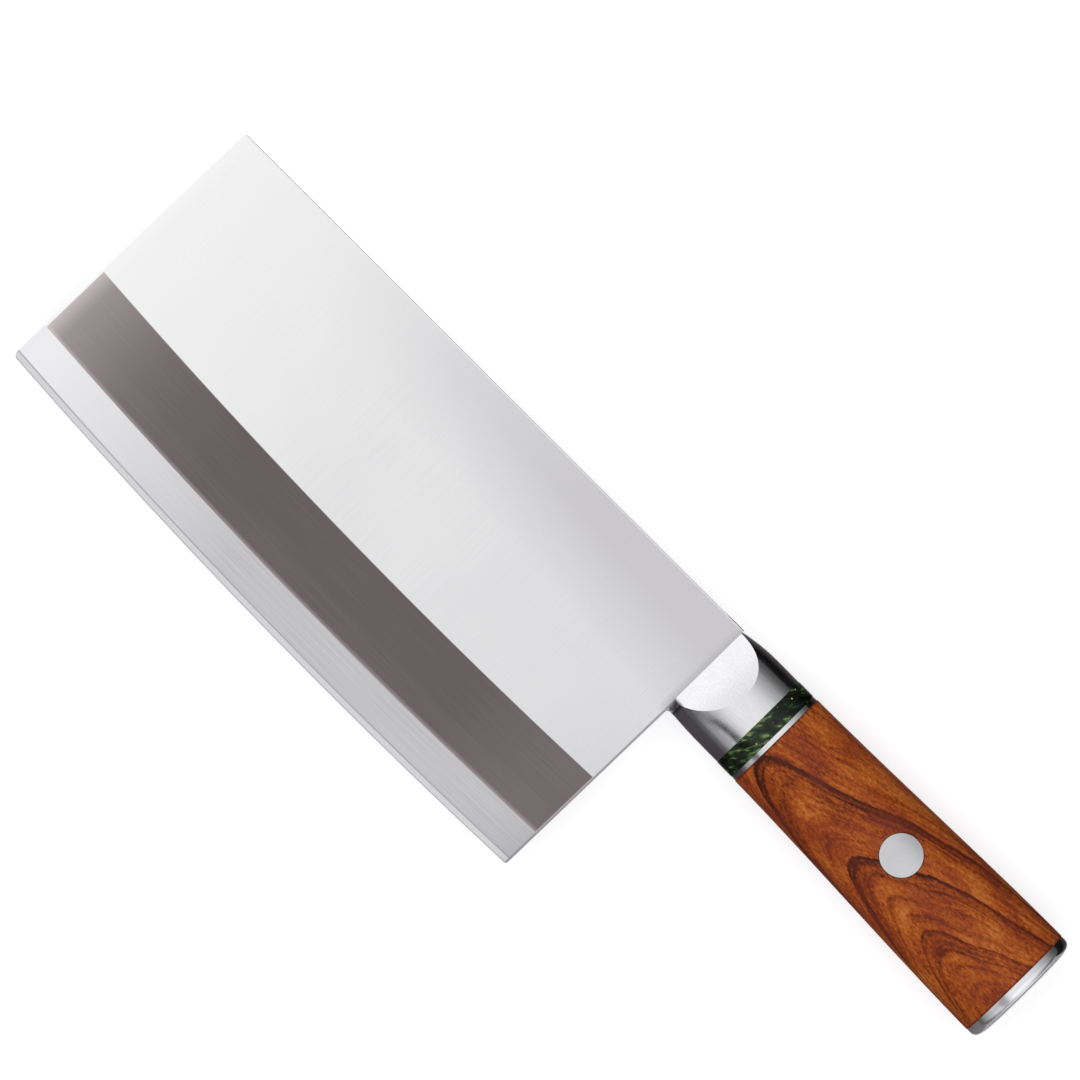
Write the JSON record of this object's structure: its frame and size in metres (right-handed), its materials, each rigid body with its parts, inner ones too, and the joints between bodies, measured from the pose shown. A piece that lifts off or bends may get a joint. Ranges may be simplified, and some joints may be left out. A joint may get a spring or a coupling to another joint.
{
  "type": "chinese cleaver",
  "caption": "Rectangular kitchen cleaver with a clad steel blade, a scooped steel bolster, resin and steel rings, a riveted oval wooden handle and a steel end cap.",
  "frame": {"origin": "middle of the knife's box, on the surface that the knife lies on", "axes": "+X along the handle to the butt, +Y from the cutting edge to the spine, +Z square out of the blade's front face"},
  "size_m": [0.3146, 0.0952, 0.025],
  "materials": {
    "core_steel": "hard carbon steel, satin ground, with a polished honed bevel",
    "clad_steel": "stainless steel, brushed across the blade, with a dark etched ground bevel",
    "bolster_steel": "stainless steel, polished",
    "tang_steel": "steel as rolled and turned",
    "green_resin": "dark green cast resin with green and gold flecks, polished",
    "fitting_steel": "stainless steel, polished",
    "handle_wood": "reddish brown figured hardwood, oiled and polished",
    "epoxy": "cast epoxy",
    "rivet_steel": "stainless steel, ground flush with the wood"
  },
  "bodies": {
    "root": {"blade_core": "core_steel", "cladding_front": "clad_steel", "cladding_back": "clad_steel", "bolster": "bolster_steel", "tang": "tang_steel", "resin_ring": "green_resin", "steel_ring": "fitting_steel", "wood_handle": "handle_wood", "bedding": "epoxy", "rivet_pin": "rivet_steel", "rivet_tube": "rivet_steel", "washer": "tang_steel", "tang_nut": "tang_steel", "end_cap": "fitting_steel", "cap_dowels": "tang_steel"}
  },
  "joints": []
}
